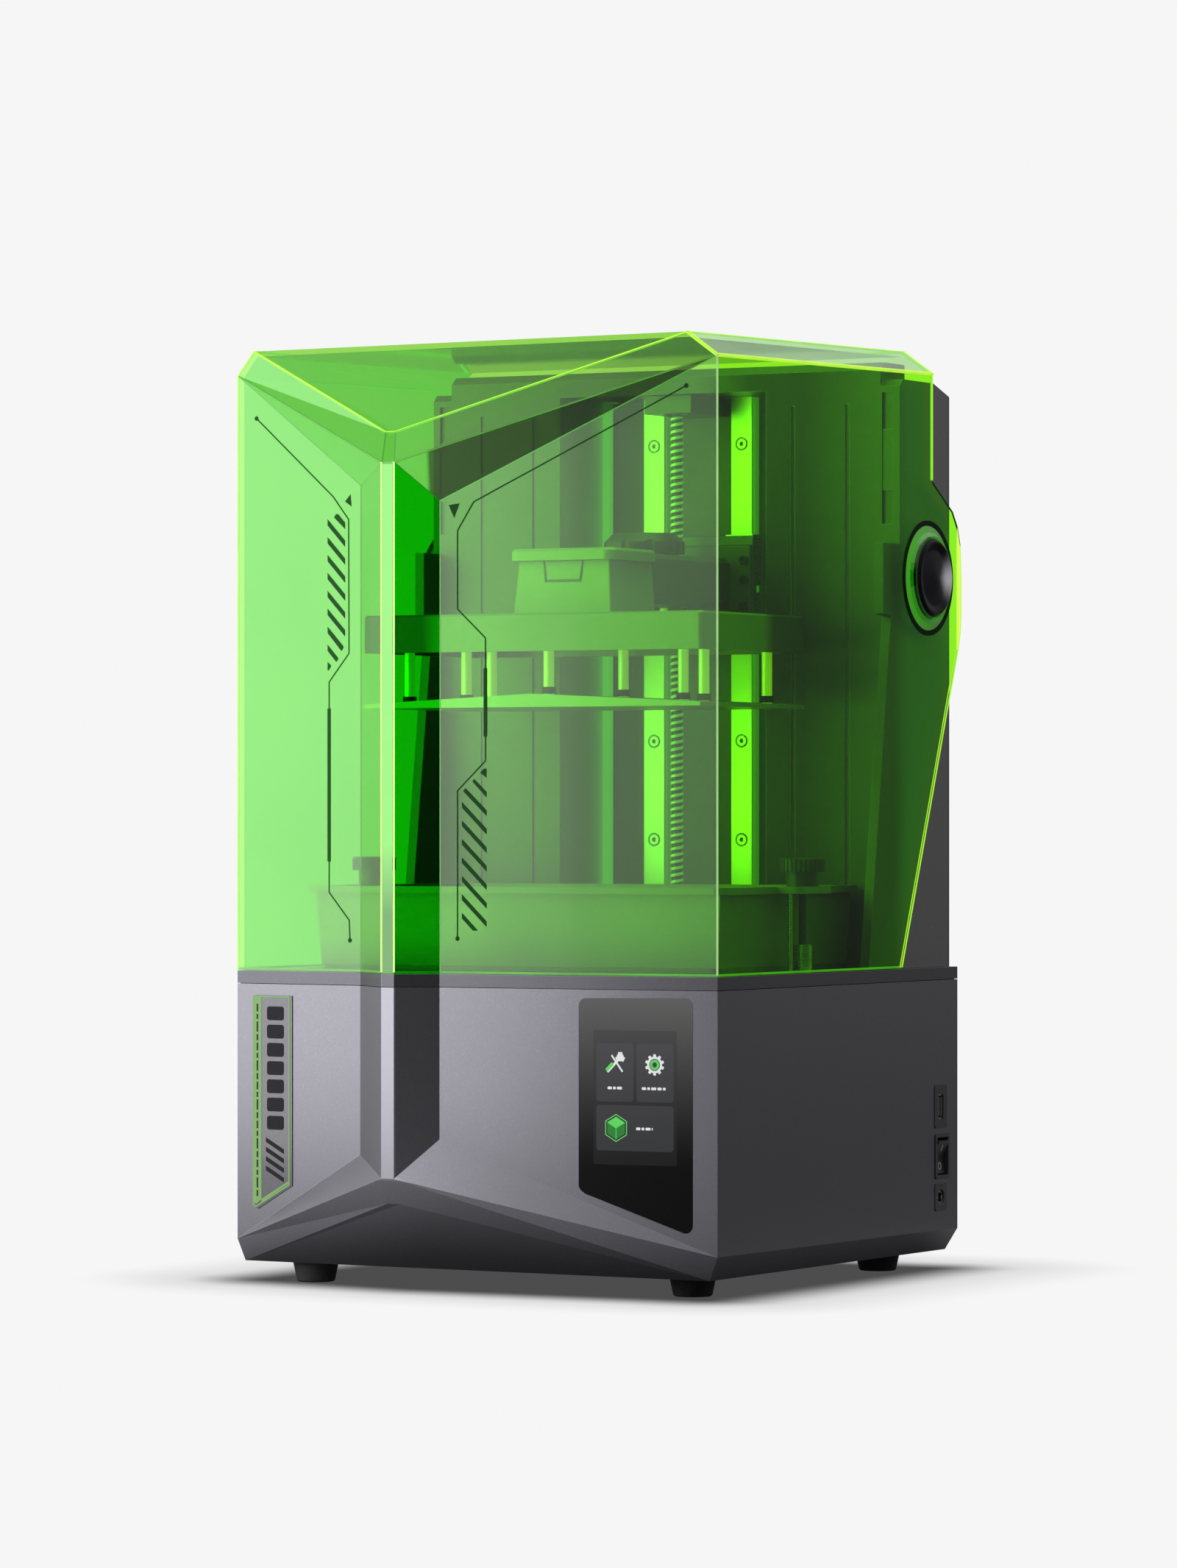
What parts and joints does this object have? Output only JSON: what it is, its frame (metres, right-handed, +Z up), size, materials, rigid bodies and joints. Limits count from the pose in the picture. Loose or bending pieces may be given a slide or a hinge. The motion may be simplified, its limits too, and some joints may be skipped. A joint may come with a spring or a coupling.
{
  "type": "resin printer",
  "caption": "Desktop vat-polymerisation printer: faceted metal base, hinged see-through tinted lid, rear Z tower with rails and screw, hanging build plate over a clamped resin vat.",
  "frame": {"origin": "centre of the footprint, on the floor under the four feet", "axes": "+Z up, +X to the operator's right, +Y to the rear (the tower side)"},
  "size_m": [0.34, 0.3355, 0.548],
  "materials": {
    "base_paint": "fine metallic grey",
    "dark_steel": "satin black",
    "black_screw": "black oxide",
    "foot_rubber": "matt",
    "deck_paint": "satin",
    "gasket_rubber": "matt",
    "lcd_black": "gloss",
    "clear_glass": "polished",
    "black_plastic": "matt",
    "lens_acrylic": "polished",
    "circuit_board": "solder mask",
    "heatsink_alu": "extruded",
    "fan_plastic": "satin",
    "panel_glass": "gloss",
    "badge_plastic": "gloss",
    "plated_steel": "bright",
    "rocker_plastic": "gloss",
    "tower_paint": "satin",
    "backplate_paint": "satin",
    "rail_steel": "ground",
    "trim_alu": "satin",
    "black_alu": "black anodised",
    "motor_black": "satin",
    "vat_alu": "dark anodised",
    "film_clear": "film",
    "nut_brass": "turned",
    "platform_alu": "dark anodised",
    "plate_alu": "bead blasted",
    "collar_black": "matt",
    "knob_plastic": "matt",
    "knob_metal": "knurled, dark",
    "lid_green": "tinted gloss acrylic",
    "gloss_black": "gloss"
  },
  "bodies": {
    "base": {"base_shell": "base_paint", "casing_screws": "black_screw", "channel_trims": "trim_alu", "collimating_lens": "lens_acrylic", "dc_jack": "plated_steel", "deck_plate": "deck_paint", "film_frame": "black_alu", "floor_pan": "dark_steel", "hinge_brackets": "dark_steel", "hinge_pins": "rail_steel", "led_array": "circuit_board", "led_fan_frame": "black_plastic", "led_heatsink": "heatsink_alu", "light_housing": "black_plastic", "linear_rails": "rail_steel", "main_board": "circuit_board", "mask_lcd": "lcd_black", "port_bezels": "black_plastic", "rail_screws": "black_screw", "rear_fan_frame": "black_plastic", "release_film": "film_clear", "resin_vat": "vat_alu", "rubber_feet": "foot_rubber", "screen_glass": "clear_glass", "screw_top_bearing": "plated_steel", "screw_top_block": "black_alu", "seam_gasket": "gasket_rubber", "side_badge": "badge_plastic", "switch_housing": "black_plastic", "touchscreen_glass": "panel_glass", "touchscreen_module": "black_plastic", "tower_back_cover": "tower_paint", "tower_shell": "tower_paint", "usb_port": "plated_steel", "vat_bosses": "rail_steel", "z_backplate": "backplate_paint", "z_limit_sensor": "black_plastic", "z_motor": "motor_black"},
    "carriage": {"rail_blocks": "rail_steel", "carriage_plate": "black_alu", "carriage_screws": "black_screw", "carriage_arm": "black_alu", "screw_nut": "nut_brass", "platform_hub": "black_alu", "hub_cap": "black_alu", "platform_frame": "platform_alu", "plate_posts": "rail_steel", "post_collars": "collar_black", "build_plate": "plate_alu"},
    "clamp_knob": {"platform_knob": "knob_plastic"},
    "z_screw": {"lead_screw": "rail_steel", "flex_coupling": "trim_alu", "motor_shaft": "rail_steel"},
    "lid": {"lid_shell": "lid_green", "hinge_caps": "gloss_black"},
    "rocker": {"power_rocker": "rocker_plastic"},
    "left_thumbscrew": {"vat_knob_left": "knob_metal"},
    "right_thumbscrew": {"vat_knob_right": "knob_metal"},
    "led_fan": {"led_fan_rotor": "fan_plastic"},
    "rear_fan": {"rear_fan_rotor": "fan_plastic"}
  },
  "joints": [
    {"name": "lid_hinge", "type": "hinge", "parent": "base", "child": "lid", "pos_m": [0, 0.1237, 0.4126], "axis": [-1, 0, 0], "range_deg": [0, 90]},
    {"name": "z_slide", "type": "slide", "parent": "base", "child": "carriage", "axis": [0, 0, 1], "range_m": [-0.152, 0.068]},
    {"name": "z_screw_spin", "type": "hinge", "parent": "base", "child": "z_screw", "pos_m": [0, 0.115, 0.3], "axis": [0, 0, 1], "range_deg": [-6125, 13685]},
    {"name": "clamp_knob_turn", "type": "hinge", "parent": "carriage", "child": "clamp_knob", "pos_m": [0, 0.073, 0.43], "axis": [0, 0, 1], "range_deg": [-10, 1080]},
    {"name": "power_rocker_tilt", "type": "hinge", "parent": "base", "child": "rocker", "pos_m": [0.1586, 0.1434, 0.0686], "axis": [0, 1, 0], "range_deg": [-16, 0]},
    {"name": "left_thumbscrew_turn", "type": "hinge", "parent": "base", "child": "left_thumbscrew", "pos_m": [-0.1435, -0.002, 0.23], "axis": [0, 0, 1], "range_deg": [-10, 1440]},
    {"name": "right_thumbscrew_turn", "type": "hinge", "parent": "base", "child": "right_thumbscrew", "pos_m": [0.1435, -0.002, 0.23], "axis": [0, 0, 1], "range_deg": [-10, 1440]},
    {"name": "led_fan_spin", "type": "hinge", "parent": "base", "child": "led_fan", "pos_m": [0, -0.002, 0.046], "axis": [0, 0, 1], "continuous": true},
    {"name": "rear_fan_spin", "type": "hinge", "parent": "base", "child": "rear_fan", "pos_m": [-0.06, 0.155, 0.128], "axis": [0, 1, 0], "continuous": true}
  ],
  "couplings": [
    {"joint": "z_screw_spin", "follows": "z_slide", "rad_per_m": -1570.8}
  ]
}
